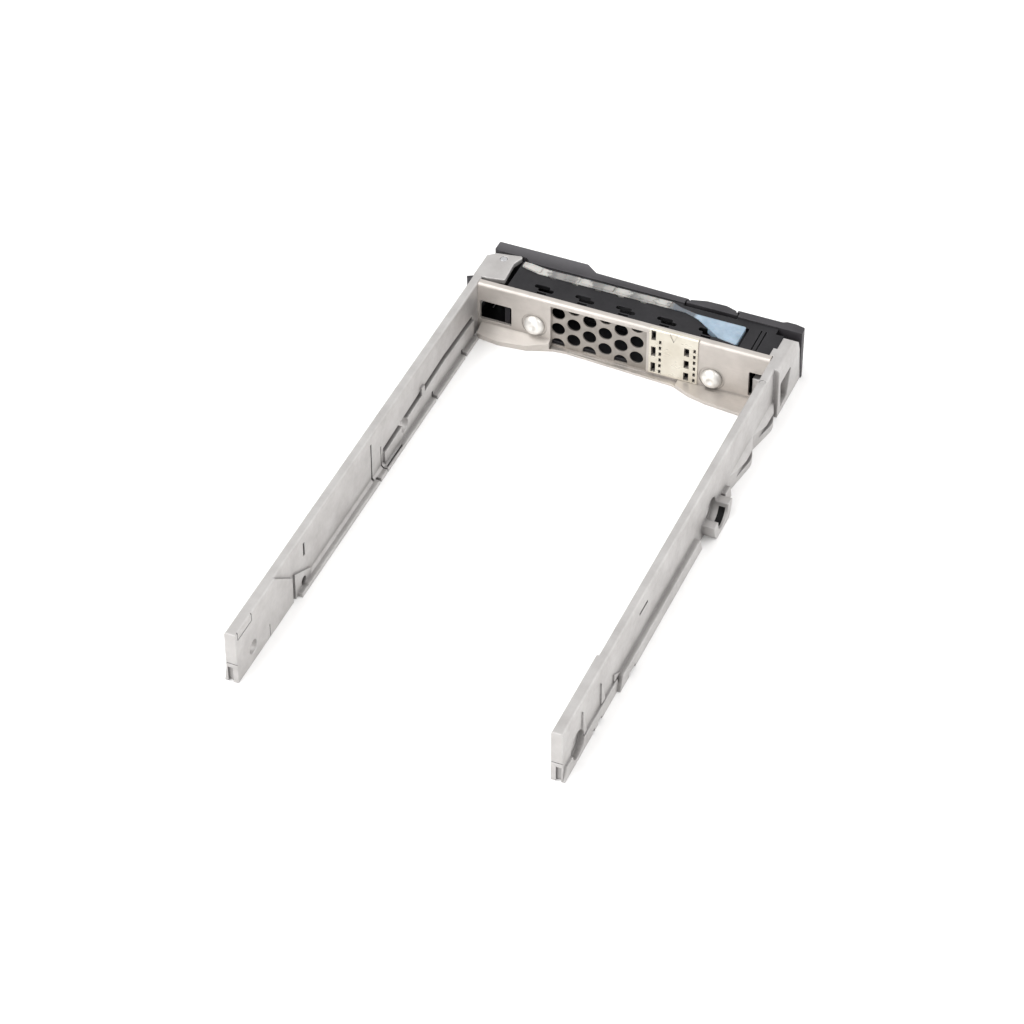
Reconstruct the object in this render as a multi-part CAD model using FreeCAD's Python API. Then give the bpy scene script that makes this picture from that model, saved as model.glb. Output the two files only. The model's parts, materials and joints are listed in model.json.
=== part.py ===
import FreeCAD, Part
import math
import os
from FreeCAD import Vector

# Caddy for a 2.5 inch drive. Millimetres.
# X runs across the drive, Y along the rails away from the bezel, Z up from the surface the caddy rests on.
# The origin is the middle of the front plate's drive side, at the level of the rails' underside.
# "Left" is the +X side, with the lever's hinge, and "right" the -X side, with the button.
# In a name, "inset" is a distance from a rail's web towards the middle, and "ahead" one in front of the
# housing.

# --- drive that the caddy holds ---
drive_width = 69.85
drive_play = 0.15              # between the drive and both rails together
drive_hole_pitch = 76.6        # between the two screw holes in one side of the drive
drive_hole_height = 3.0        # above the drive's underside
first_hole_y = 42.0            # front screw hole, from the front plate

# --- rails: web, lip and pads ---
rail_height = 13.6
rail_reach = 126.0             # from the front plate to the free end
rail_wall = 2.1
web_relief = 0.5               # the web stands back from the pads that touch the drive
bite = 0.5                     # how far pads, ribs and lugs sink into the web that carries them
over = 1.0                     # how far a cut runs on past the face it opens
top_round = 0.5
lip_width = 1.1                # lip under the drive, from the pads
lip_thickness = 1.0
lip_slope = 0.6                # where the lip meets the web
lip_gap = 0.5                  # from the plate's turned-out foot to the lip
lip_end = 97.4
# y and height of the long pad's top
pad_line = ((3.4, 5.4), (8.0, 5.6), (20.0, 6.0), (33.0, 5.4), (52.5, 4.5))
seam_height = 1.0              # groove above the long pad
seam_depth = 0.6
knuckle = (31.0, 32.6, 2.6, 7.4)           # y from, y to, z from, z to
end_pad_start = 99.6
end_pad_step = 7.0             # height at which the end pad's front edge begins to lean
left_pad_top = 107.4           # y where the end pad reaches full height
right_pad_top = 102.1
tie_lug = ((90.9, 0.0), (90.9, 2.8), (98.4, 6.9), (98.4, 0.0))               # y and z
tie_hole = (94.4, 2.0)
tie_hole_radius = 1.1

# --- rails: fine cuts in the inner side, each y from, y to, z from, z to, depth past the web's face ---
inner_cuts = (
    (10.05, 10.95, -1.0, 2.0, 0.2),
    (26.55, 27.45, -1.0, 2.3, 0.2),
    (53.5, 53.9, -1.0, 7.0, 0.3),
    (57.1, 57.9, -1.0, 1.0, -0.2),
    (58.3, 58.9, 1.0, 11.4, 0.8),
    (92.3, 93.1, 7.6, 11.2, 0.8),
    (110.7, 111.0, 0.2, 3.6, -0.2),
)
lip_slot = (45.0, 53.0)
lip_slot_width = 0.4
top_stop = (7.2, 0.8, 11.7)                # from and to, off the free end; z of the outline cut round it
top_stop_line = 0.3
end_slot_inset = 0.6                       # from the web's inner face
end_slot_width = 1.2
end_slot_height = 4.0
end_slot_depth = 0.6

# --- rails: outside ---
flank_height = 3.6
flank_slope = 1.2              # slanting ends of the ribs
front_rib_end = 2.4
front_rib_reach = 1.2
flank_ribs = ((31.2, 36.4, 1.0), (50.0, 97.6, 1.2))          # start, end, reach
rear_rib_start = 96.4
rear_rib_reach = 0.5
flank_bumps = ((2.0, 15.2, 1.8), (15.4, 30.4, 1.6))          # start, end, reach
bump_lead = 4.6                # from a bump's start to its highest place
bump_round = 6.0
bump_height = 4.4
bump_pocket_height = 1.5
bump_pocket_margin = 2.8
bump_pocket_floor = 0.5        # beyond the web's outer face
outer_slots = ((79.6, 84.3, 9.6, 10.4), (89.0, 92.6, -1.0, 0.9), (106.0, 108.2, -1.0, 0.9),
               (109.9, 111.0, -1.0, 0.9))
outer_slot_depth = 0.7
# from and to, off the free end; z
outer_fins = ((30.2, 27.0, 4.0, 6.0), (22.0, 20.0, 4.0, 9.9), (12.0, 10.0, 4.0, 10.9))
fin_reach = 0.35
screw_hole_radius = 1.7
screw_head_radius = 3.2
screw_seat_thickness = 1.6     # wall left under the screw's head
screw_lug_radius = 5.4
screw_lug_height = 4.3
screw_lug_reach = 3.0
top_mark = (36.6, 7.8)
top_mark_radius = 0.8
top_mark_depth = 0.15
end_line_height = 5.0
end_line_width = 0.25

# --- front plate ---
sheet = 0.8
plate_foot = 0.4               # lower edge above the rest surface
plate_flange = 1.7             # depth of the folded top edge
vent_left_inset = 18.1
vent_right_inset = 29.4
vent_bottom = 0.6
vent_top = 12.3
left_window = (8.4, 0.6, 3.5, 8.8)         # inset from, inset to, z from, z to
right_window = (4.7, 1.3, 1.9, 8.7)
window_round = 0.4
shelf_lip = 0.6                # thickness at the outer edge of the turned-out foot
# inset and y, outwards edge
left_shelf = ((0.9, 2.9), (6.3, 3.6), (13.1, 2.9), (19.1, 0.7), (22.5, 0.4))
right_shelf = ((21.5, 2.0), (17.8, 3.7), (13.3, 4.7), (4.5, 5.5), (0.7, 5.9))
left_shelf_rise = 2.6
middle_shelf_rise = 0.5
right_shelf_rise = 1.2
middle_shelf_edge = 1.7
tongue_low = 9.6
tongue_high = 11.8
tongue_length = 0.9
fit_gap = 0.05
assembly_gap = 0.1             # round pieces of the head that are pushed together

# --- perforated screen ---
screen_sheet = 0.4
screen_hole_radius = 1.65
screen_pitch = 4.45
screen_margin = 1.2
screen_first = 1.6             # first column, from the opening's edge
screen_middle = 5.75           # height of a hole in the first column
screen_edge = 0.5

# --- grounding clip ---
clip_sheet = 0.3
clip_left_inset = 28.7
clip_right_inset = 16.9
clip_fold = 0.8
clip_fold_round = 0.5
clip_foot = 1.25
ladder_bottom = 1.6
# inset, width, length, pitch
ladders = ((1.1, 1.1, 2.7, 4.6), (2.7, 0.6, 1.0, 1.7), (9.1, 1.2, 2.2, 3.5), (11.0, 0.6, 1.0, 1.7))
ladder_rows = (3, 6, 3, 6)
crease_width = 2.2             # folded V in the middle of the top
crease_height = 2.4
crease_depth = 0.12

# --- rivets ---
left_rivet = (14.1, 5.8)       # inset and z
right_rivet = (13.5, 4.0)
rivet_head_radius = 2.5
rivet_rim = 0.3
rivet_head_height = 1.6
rivet_shank_radius = 1.25
rivet_dimple_radius = 0.9
rivet_dimple_depth = 0.35
rivet_grip = 3.2
rivet_ring_radius = 3.1        # shallow ring pressed in the plate
rivet_ring_depth = 0.15
boss_radius = 2.5
boss_floor = 0.8

# --- front housing ---
housing_drop = 0.4             # top below the rails' top
housing_bottom = 0.4
housing_wall = 1.2
housing_left_inset = 6.5
housing_right_inset = 0.1
front_face = -11.8
front_wall = 1.0
vent_count = 5
first_vent_inset = 14.7
last_vent_inset = 16.3
vent_y = -4.4
vent_lobe_length = 3.8
vent_lobe_width = 1.3
vent_lobe_shift = (0.6, 0.45)
small_vent = (2.4, 0.6, 1.7)   # length, width, distance behind the long one
ridge_insets = (5.3, 4.2)
ridge_width = 0.35
ridge_depth = 0.4
ridge_run = (-9.6, -1.9)
corner_cut = (2.0, 2.2, 1.7)   # inset, run in Y and depth of the step at the right front corner
rim_notch = (1.6, 0.5, 0.8)    # length, width and depth of the notches beside the light guide
rim_notch_count = 5
rim_notch_pitch = 5.6
rim_notch_start = 2.6
slot_count = 6
slot_web = 1.0
slot_low = 2.2
slot_high = 10.2
slot_round = 0.5
foot_height = 1.1

# --- light guide ---
guide_ahead = -2.9             # rear edge of the strip
guide_width = 2.2
guide_thickness = 1.5
guide_proud = 0.2              # above the housing
guide_floor_wall = 0.9
guide_left_inset = 11.5
guide_tip_inset = 6.9
guide_tip_ahead = -0.05
guide_tip_length = 1.8
guide_tip_width = 1.7
block_inner_inset = 20.6
block_outer_inset = 8.9
block_rear = -2.4
block_rear_inner = -3.3
block_front_step = 1.9
block_neck = (6.5, 4.5)        # where the strip begins and ends its step towards the block
block_neck_width = 1.2
block_slant = 7.0              # along the block's slanting side
block_groove = 0.8
lump_height = 0.3
lump_margin = 0.25
lump_insets = ((7.3, 11.7), (17.7, 21.1), (21.9, 29.6), (30.2, 43.6))

# --- ejector lever ---
pivot_inset = 2.0
pivot_ahead = -1.2
pin_radius = 0.9
pin_clearance = 0.05
pin_bottom = 0.2
pin_chamfer = 0.15
hub_radius = 1.7
lever_gap = 0.3                # between the lever or the button and what is fixed
lever_bottom = 0.3
lever_drop = 0.3               # top below the rails' top
lever_thickness = 1.9
lever_step = 1.3               # the lever's rear stands back round the ear
lever_reach = 1.45             # end past the web's inner face
grip_depth = 4.5
grip_inset = 20.6
grip_run = 2.9                 # slanting side of the grip
ear_thickness = 1.2
ear_ahead = 1.3
ear_corner_ahead = -1.4
ear_root = -2.7
ear_slant = (1.8, 1.5)         # corner taken off beside the lever's end
# past the housing's end and y; the first is at the front
ear_inner_line = ((0.4, 0.0), (1.6, -9.8), (1.4, -6.4), (1.2, -3.5))
ear_foot_reach = 3.0           # how far the foot reaches under the housing
tooth_low = 5.2
tooth_high = 10.4
tooth_reach = 7.0              # from the pivot
# from the pivot
tooth_line = ((-1.2, 0.6), (-0.5, 3.2), (2.8, 6.2), (6.3, 6.4), (7.0, 5.4), (3.4, 3.4), (1.4, 1.2))
slot_clearance = 0.6
latch_low = 5.0
latch_high = 8.6
latch_reach = 3.2              # behind the housing's front face
latch_thickness = 1.0
latch_inset = 1.8              # from the lever's free end
latch_window = 0.5             # clearance of its window in the housing
grille_across = 3.0
grille_web = 0.8
grille_columns = 6
lens_size = (2.0, 1.2)         # width and height
lens_drop = 0.3
lens_proud = 0.1

torsion_wire = 0.35
torsion_play = 0.1
torsion_gap = 0.08
torsion_turns = 5
torsion_leg = 3.6
# where the long leg ends: past the housing's end, and ahead of the lever's rear
torsion_rest = (0.5, 0.9)

# --- release button ---
button_inset = 24.0
button_width = 11.0
button_ahead = 3.0
button_thickness = 2.3
button_edge = 1.4              # face at its edges, ahead of its rear less a step
button_side_gap = 0.4
button_rim = 0.7               # thin rim behind the lever and the bezel's end
button_rim_thickness = 0.5
button_travel = 1.0
bump_slope = 3.1
stem_left_inset = 1.5
stem_right_inset = 1.9
stem_low = 3.6
stem_high = 9.8
stem_length = 5.2
stem_clearance = 0.3
stem_opening = 3.6             # how far back the housing is opened for it
hook_low = 5.5
hook_high = 7.9
hook_length = 1.3
spring_seat = -3.2
spring_seat_wall = 1.0
spring_radius = 1.5
spring_wire = 0.35
spring_turns = 5
peg_clearance = 0.15
peg_length = 1.0

# --- fixed end of the bezel ---
bezel_overhang = 1.4           # past the web's outer face
bezel_depth = 2.1
bezel_bump = 0.5
bezel_bump_insets = (1.0, -1.2)
cheek_overhang = 1.2
cheek_start = 2.6
# y and z down the cheek's front edge
cheek_line = ((-8.6, 13.6), (-10.2, 12.2), (-11.3, 9.4), (-12.7, 0.0))
cheek_window = ((-5.7, 8.9), (1.5, 9.0), (0.5, 1.4), (-3.7, 1.6))
cheek_window_round = 0.6
cheek_window_floor = 1.2
cheek_window_sill = 4.6        # above this height the window goes right through
cheek_foot = 6.5               # how far the foot under the housing reaches in
cheek_foot_run = (-9.8, -3.4)
gusset = (4.0, -3.4, 1.2, 6.4)             # inset, y from, z from, z to
corner_post = (0.7, -4.4, 3.5)             # inset, y from, depth below the top

# --- screws through the rails' feet ---
foot_screw_radius = 0.8
foot_screw_head = 1.6
foot_screw_length = 5.0
foot_screw_y = -6.8
foot_screw_post = 2.0          # half width of the post that takes it
foot_screw_cap = 1.2
left_screw_inset = 7.4
right_screw_inset = 4.2
cross_length = 1.4
cross_width = 0.3
cross_depth = 0.35

# --- sizes that follow from those above ---
pad_inner = (drive_width + drive_play) / 2
web_inner = pad_inner + web_relief
web_outer = web_inner + rail_wall
lip_inner = pad_inner - lip_width
hole_z = lip_thickness + drive_hole_height
hole_ys = (first_hole_y, first_hole_y + drive_hole_pitch)
cheek_outer = web_outer + cheek_overhang
far = cheek_outer + screw_lug_reach        # clear of everything on a rail's outside
vent_left = web_inner - vent_left_inset
vent_right = vent_right_inset - web_inner
housing_left = web_inner - housing_left_inset
housing_right = housing_right_inset - web_inner
housing_top = rail_height - housing_drop
guide_top = housing_top + guide_proud
guide_floor = guide_top - guide_thickness - guide_floor_wall
rivets = ((web_inner - left_rivet[0], left_rivet[1]), (right_rivet[0] - web_inner, right_rivet[1]))
foot_screw_places = ((web_inner - left_screw_inset, foot_screw_y),
                     (right_screw_inset - web_inner, foot_screw_y))
clip_left = clip_left_inset - web_inner
clip_right = clip_right_inset - web_inner
pivot = (web_inner - pivot_inset, front_face - pivot_ahead)
ear_corner = front_face - ear_corner_ahead
ear_front = front_face - ear_ahead
lever_rear = front_face - lever_gap
lever_face = lever_rear - lever_thickness
grip_face = lever_rear - grip_depth
grip_inner = web_inner - grip_inset
lever_top = rail_height - lever_drop
lever_left = web_inner + lever_reach
button_left = button_inset - web_inner
button_right = button_left - button_width
button_face = front_face - button_ahead
button_rear = button_face + button_thickness
lever_right = button_left + button_side_gap
bezel_face = front_face - bezel_depth
bezel_left = button_right - button_side_gap
bezel_right = -web_outer - bezel_overhang
stem_left = button_left - stem_left_inset
stem_right = button_right + stem_right_inset
stem_rear = button_rear + stem_length
spring_centre = ((stem_left + stem_right) / 2, (stem_low + stem_high) / 2)
guide_rear = front_face - guide_ahead
guide_front = guide_rear - guide_width
guide_left = web_inner - guide_left_inset
block_inner = block_inner_inset - web_inner
block_outer = block_outer_inset - web_inner


def block(x, y, z):
    """Box from three (from, to) pairs, in any order."""
    lows = [min(pair) for pair in (x, y, z)]
    sizes = [abs(pair[1] - pair[0]) for pair in (x, y, z)]
    return Part.makeBox(*sizes, Vector(*lows))


def place(axis, u, v, w):
    """Point with w along the axis, and u and v along the other two in X, Y, Z order."""
    return {"x": Vector(w, u, v), "y": Vector(u, w, v), "z": Vector(u, v, w)}[axis]


def profile(corners, axis, start, end):
    """Prism of an outline. Each corner is (u, v) or (u, v, radius)."""
    count = len(corners)
    edges, ends = [], []
    for i, corner in enumerate(corners):
        here = place(axis, corner[0], corner[1], start)
        if len(corner) == 2:
            ends.append((here, here, None))
            continue
        before = place(axis, *corners[i - 1][:2], start) - here
        after = place(axis, *corners[(i + 1) % count][:2], start) - here
        half = before.getAngle(after) / 2
        run = corner[2] / math.tan(half)
        before.normalize()
        after.normalize()
        middle = before + after
        middle.normalize()
        depth = corner[2] / math.sin(half) - corner[2]
        ends.append((here + before * run, here + after * run, here + middle * depth))
    for i, (first, last, middle) in enumerate(ends):
        if middle is not None:
            edges.append(Part.Arc(first, middle, last).toShape())
        following = ends[(i + 1) % count][0]
        if (following - last).Length > 1e-6:
            edges.append(Part.makeLine(last, following))
    return Part.Face(Part.Wire(edges)).extrude(place(axis, 0, 0, end - start))


def rounded(corners, radius):
    """The same outline with one radius at every corner."""
    return [(u, v, radius) for u, v in corners]


def rectangle(u, v):
    return [(u[0], v[0]), (u[1], v[0]), (u[1], v[1]), (u[0], v[1])]


def slot_outline(centre, length, width):
    """Round-ended slot along the first direction; its ends are a little flat."""
    u = (centre[0] - length / 2, centre[0] + length / 2)
    v = (centre[1] - width / 2, centre[1] + width / 2)
    return rounded(rectangle(u, v), width * 0.48)


def around(centre, half):
    return centre - half, centre + half


def rod(centre, radius, axis, start, end):
    """Cylinder along an axis; centre is (u, v)."""
    low, high = min(start, end), max(start, end)
    return Part.makeCylinder(radius, high - low, place(axis, *centre, low), place(axis, 0, 0, 1))


def joined(shapes):
    return shapes[0].multiFuse(shapes[1:]).removeSplitter() if len(shapes) > 1 else shapes[0]


def mirrored(shape):
    """A rail is drawn with its outside towards +X; this gives its twin."""
    return shape.mirror(Vector(0, 0, 0), Vector(1, 0, 0))


# --- rails

def flank_rib(start, end, reach):
    outline = [(start, 0), (end, 0), (end - flank_slope, flank_height), (start + flank_slope, flank_height)]
    return profile(outline, "x", web_outer - bite, web_outer + reach)


def flank_bump(start, end, reach):
    """Low bump on the outside of the foot, leaning back to the web at its top."""
    root, out = web_outer - bite, web_outer + reach
    plan = [(root, start), (web_outer, start), (out, start + bump_lead, bump_round), (web_outer, end),
            (root, end)]
    slope = [(root, 0), (out, 0), (out, bump_height - reach), (web_outer, bump_height), (root, bump_height)]
    return profile(plan, "z", 0, bump_height).common(profile(slope, "y", start, end))


def bump_pocket(start, end):
    """Long round-ended pocket in a bump's face."""
    centre = ((start + end) / 2, bump_height / 2 + bite / 2)
    outline = slot_outline(centre, end - start - 2 * bump_pocket_margin + bump_pocket_height,
                           bump_pocket_height)
    return profile(outline, "x", web_outer + bump_pocket_floor, far)


def screw_lug():
    """Lug round the lower half of the screw's seat."""
    disc = rod((first_hole_y, hole_z), screw_lug_radius, "x", web_outer - bite, web_outer + screw_lug_reach)
    return disc.common(block((0, far), (0, rail_reach), (0, screw_lug_height)))


def end_pad(top_y):
    """Full-height pad at the free end. Its front edge is upright, then leans to reach the top at top_y."""
    outline = [(end_pad_start, 0), (end_pad_start, end_pad_step), (top_y, rail_height),
               (rail_reach, rail_height), (rail_reach, 0)]
    section = [(pad_inner, 0), (web_outer, 0), (web_outer, rail_height, top_round),
               (pad_inner, rail_height, top_round)]
    pad = profile(outline, "x", pad_inner, web_outer)
    return pad.common(profile(section, "y", end_pad_start, rail_reach))


def seam():
    """Groove that follows the long pad's top."""
    lower = [(y, z) for y, z in pad_line]
    upper = [(y, z + seam_height) for y, z in reversed(pad_line)]
    return profile(lower + upper, "x", pad_inner - over, web_inner + seam_depth)


def rail_body(front_y, lip_start, top_y):
    """What both rails share, drawn with the outside towards +X."""
    section = [(web_inner, 0), (web_outer, 0), (web_outer, rail_height, top_round),
               (web_inner, rail_height, top_round)]
    lip = [(lip_inner, 0), (web_inner + bite, 0), (web_inner + bite, lip_thickness + lip_slope),
           (web_inner, lip_thickness + lip_slope), (pad_inner, lip_thickness), (lip_inner, lip_thickness)]
    long_pad = [(pad_line[0][0], lip_thickness)] + list(pad_line) + [(pad_line[-1][0], lip_thickness)]
    solids = [
        profile(section, "y", front_y, rail_reach),
        profile(lip, "y", lip_start, lip_end),
        profile(long_pad, "x", pad_inner, web_inner + bite),
        profile(tie_lug, "x", pad_inner, web_inner + bite),
        end_pad(top_y),
        flank_rib(front_y - flank_slope, front_rib_end,
                  front_rib_reach).common(block((0, far), (front_y, rail_reach), (0, rail_height))),
        screw_lug(),
        flank_rib(rear_rib_start, rail_reach, rear_rib_reach),
    ]
    solids += [flank_rib(*rib) for rib in flank_ribs]
    solids += [flank_bump(*bump) for bump in flank_bumps]
    for start, end, low, high in outer_fins:
        outline = [(rail_reach - start, low), (rail_reach - end, low), (rail_reach - end, high)]
        solids.append(profile(outline, "x", web_outer - bite, web_outer + fin_reach))
    body = joined(solids)
    cuts = [seam()]
    for start, end, low, high, depth in inner_cuts:
        cuts.append(block((lip_inner - over, web_inner + depth), (start, end), (low, high)))
    for start, end, low, high in outer_slots:
        cuts.append(block((web_outer - outer_slot_depth, far), (start, end), (low, high)))
    cuts += [bump_pocket(start, end) for start, end, reach in flank_bumps]
    cuts.append(block((pad_inner - 2 * lip_slot_width, pad_inner - lip_slot_width), lip_slot,
                      (-over, lip_thickness + over)))
    cuts.append(rod(tie_hole, tie_hole_radius, "x", pad_inner - over, web_inner + outer_slot_depth))
    end_slot = web_inner + end_slot_inset
    cuts.append(block((end_slot, end_slot + end_slot_width),
                      (rail_reach - end_slot_depth, rail_reach + over), (-over, end_slot_height)))
    cuts.append(block((0, far), (rail_reach - end_line_width, rail_reach + over),
                      (end_line_height, end_line_height + end_line_width)))
    for y in hole_ys:
        cuts.append(rod((y, hole_z), screw_hole_radius, "x", 0, far))
        cuts.append(rod((y, hole_z), screw_head_radius, "x", pad_inner + screw_seat_thickness, far))
    start, end, low, high = knuckle
    body = body.cut(cuts).fuse(block((pad_inner, web_inner + seam_depth + bite), (start, end), (low, high)))
    return body.removeSplitter()


def left_rail():
    root = web_outer - ear_slant[0]
    shoulder = ear_corner - ear_slant[1]
    inner = [(housing_left + past, y) for past, y in ear_inner_line[1:]]
    front_x = housing_left + ear_inner_line[0][0]
    foot_x = housing_left - ear_foot_reach
    ear = [(web_outer, ear_root), (web_outer, ear_corner), (root, shoulder, 0.6),
           (front_x, ear_front, 0.5)] + inner
    ear.append((web_inner - 1.2, ear_root))
    foot = [(web_outer, ear_root), (web_outer, ear_corner), (root, shoulder), (front_x, shoulder),
            (foot_x, cheek_foot_run[0]), (foot_x, cheek_foot_run[1])]
    ear_solid = profile(ear, "z", rail_height - ear_thickness, rail_height)
    solid = joined([rail_body(ear_corner, left_shelf[0][1] + lip_gap, left_pad_top), ear_solid,
                    profile(foot, "z", 0, foot_height)])
    start, end, low = rail_reach - top_stop[0], rail_reach - top_stop[1], top_stop[2]
    stop = [block((pad_inner - over, pad_inner + top_stop_line), (y - top_stop_line, y),
                  (low, rail_height + over)) for y in (start, end)]
    stop.append(block((pad_inner - over, pad_inner + top_stop_line), (start - top_stop_line, end),
                      (low - top_stop_line, low)))
    slot = block((web_inner - over, far), (pivot[1] + 1.2, -1.4),
                 (tooth_low - slot_clearance, tooth_high + slot_clearance))
    hole = rod(pivot, pin_radius, "z", -over, rail_height + over)
    return solid.cut(stop + [slot, hole, foot_screw_space(foot_screw_places[0]), tongue_space()])


def right_rail():
    """Drawn as its mirror image, then turned over."""
    body = rail_body(cheek_start - over, right_shelf[-1][1] + lip_gap, right_pad_top)
    cheek = profile([(cheek_start, 0), (cheek_start, rail_height)] + list(cheek_line), "x", web_inner,
                    cheek_outer)
    rounding = [(web_inner, 0), (cheek_outer, 0), (cheek_outer, rail_height, 2 * top_round),
                (web_inner, rail_height, top_round)]
    cheek = cheek.common(profile(rounding, "y", cheek_line[-1][0], cheek_start))
    post_inset, post_front, post_drop = corner_post
    post = block((web_inner - post_inset, web_inner + bite), (post_front, -plate_flange - fit_gap),
                 (rail_height - post_drop, rail_height))
    gusset_inset, gusset_front, gusset_low, gusset_high = gusset
    web = block((web_inner - gusset_inset, web_inner + bite), (gusset_front, -sheet),
                (gusset_low, gusset_high))
    foot = block((web_inner - cheek_foot, web_inner + bite), cheek_foot_run, (0, foot_height))
    solid = joined([body, cheek, post, web, foot])
    through = profile(rounded(cheek_window, cheek_window_round), "x", web_inner - over, far)
    window = [profile(rounded(cheek_window, cheek_window_round), "x", web_inner + cheek_window_floor, far),
              through.common(block((0, far), (front_face, cheek_start), (cheek_window_sill, rail_height)))]
    x, y = foot_screw_places[1]
    mark = rod(top_mark, top_mark_radius, "z", rail_height - top_mark_depth, rail_height + over)
    return mirrored(solid.cut(window + [mark, foot_screw_space((-x, y)), tongue_space()]))


def tongue_space():
    """Slot in the web for the plate's tongue."""
    return block((web_inner - assembly_gap, web_inner + tongue_length + fit_gap),
                 (-sheet - fit_gap, fit_gap),
                 (tongue_low - fit_gap, tongue_high + fit_gap))


# --- screws through the rails' feet

def screw_cone(centre):
    return Part.makeCone(foot_screw_head, foot_screw_radius, foot_screw_head - foot_screw_radius,
                         Vector(*centre, 0))


def foot_screw_space(centre):
    """Hole and countersink in a foot."""
    return joined([rod(centre, foot_screw_radius, "z", -over, foot_height + assembly_gap),
                   screw_cone(centre)])


def foot_screws():
    screws = []
    for x, y in foot_screw_places:
        body = joined([screw_cone((x, y)), rod((x, y), foot_screw_radius, "z", 0, foot_screw_length)])
        depth = (-over, cross_depth)
        arms = [block(around(x, cross_length / 2), around(y, cross_width / 2), depth),
                block(around(x, cross_width / 2), around(y, cross_length / 2), depth)]
        screws.append(body.cut(arms))
    return Part.makeCompound(screws)


# --- plate, screen, clip, rivets

def shelf(edge, rise):
    """Lower edge of the plate turned out towards the drive. The edge is its outer line in plan, left to right."""
    depth = max(y for x, y in edge) + over
    plan = profile([(edge[0][0], -sheet)] + list(edge) + [(edge[-1][0], -sheet)], "z", 0, rise)
    slope = profile([(-sheet, 0), (-sheet, rise), (0, rise), (depth, shelf_lip), (depth, 0)], "x",
                    -web_outer, web_outer)
    return plan.common(slope)


def shelves():
    left = [(web_inner - inset, y) for inset, y in left_shelf]
    right = [(inset - web_inner, y) for inset, y in right_shelf]
    middle = [left[-1], (vent_right + clip_right - clip_left + foot_height, middle_shelf_edge), right[0]]
    middle[1] = (max(middle[1][0], right[0][0] + over), middle_shelf_edge)
    return [shelf(left, left_shelf_rise), shelf(middle, middle_shelf_rise), shelf(right, right_shelf_rise)]


def ladder_slots(near, deep):
    """Slots of the clip's two ladders, cut from one depth to another."""
    slots = []
    for (inset, width, length, pitch), count in zip(ladders, ladder_rows):
        for row in range(count):
            bottom = ladder_bottom + row * pitch
            slots.append(block(around(clip_left - inset, width / 2), (near, deep),
                               (bottom, bottom + length)))
    return slots


def plate_windows():
    left_from, left_to, left_low, left_high = left_window
    right_from, right_to, right_low, right_high = right_window
    outlines = (rectangle((web_inner - left_from, web_inner - left_to), (left_low, left_high)),
                rectangle((right_to - web_inner, right_from - web_inner), (right_low, right_high)))
    return [profile(rounded(outline, window_round), "y", -sheet - over, over) for outline in outlines]


def front_plate():
    section = [(0, plate_foot), (0, rail_height, sheet), (-plate_flange, rail_height),
               (-plate_flange, rail_height - sheet),
               (-sheet, rail_height - sheet), (-sheet, plate_foot)]
    solids = [profile(section, "x", -web_inner, web_inner)] + shelves()
    for side in (-1, 1):
        tongue = (side * (web_inner - bite), side * (web_inner + tongue_length))
        solids.append(block(tongue, (-sheet, 0), (tongue_low, tongue_high)))
    cuts = [block((vent_right, vent_left), (-sheet - over, over), (vent_bottom, vent_top))]
    cuts += plate_windows() + ladder_slots(-sheet - over, over)
    for centre in rivets:
        cuts.append(rod(centre, rivet_shank_radius, "y", -sheet - over, over))
        ring = rod(centre, rivet_ring_radius, "y", -rivet_ring_depth, over)
        cuts.append(ring.cut(rod(centre, rivet_head_radius, "y", -sheet, 2 * over)))
    return joined(solids).cut(cuts)


def vent_screen():
    """Thin sheet against the plate's front, holes on a triangular pitch, cut off by the plate's opening."""
    left, right = vent_left + screen_margin, vent_right - screen_margin
    top = vent_top + screen_edge
    body = block((right, left), (-sheet, -sheet - screen_sheet), (plate_foot, top))
    frame = block((vent_right + screen_edge, vent_left), (-sheet - over, over),
                  (plate_foot + screen_edge, vent_top))
    column_step = screen_pitch * math.cos(math.radians(30))
    columns = int((vent_left - screen_first - vent_right) / column_step) + 1
    holes = []
    for column in range(columns):
        x = vent_left - screen_first - column * column_step
        for row in range(4):
            z = screen_middle + (row - 1 - (column % 2) / 2) * screen_pitch
            if z - screen_hole_radius < vent_top - screen_edge:
                holes.append(rod((x, z), screen_hole_radius, "y", -sheet - over, over).common(frame))
    return body.cut(holes)


def grounding_clip():
    """Spring strip over the plate's top edge, with a ladder of slots down each side and a crease between."""
    top = rail_height + clip_sheet
    section = [(clip_sheet, clip_foot), (clip_sheet, top, clip_fold_round), (-clip_fold, top),
               (-clip_fold, rail_height),
               (0, rail_height), (0, clip_foot)]
    body = profile(section, "x", clip_left, clip_right)
    middle = (clip_left + clip_right) / 2
    crease = [(middle - crease_width / 2, top), (middle + crease_width / 2, top),
              (middle, top - crease_height)]
    return body.cut(ladder_slots(-over, over) + [profile(crease, "y", clip_sheet - crease_depth, over)])


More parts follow.
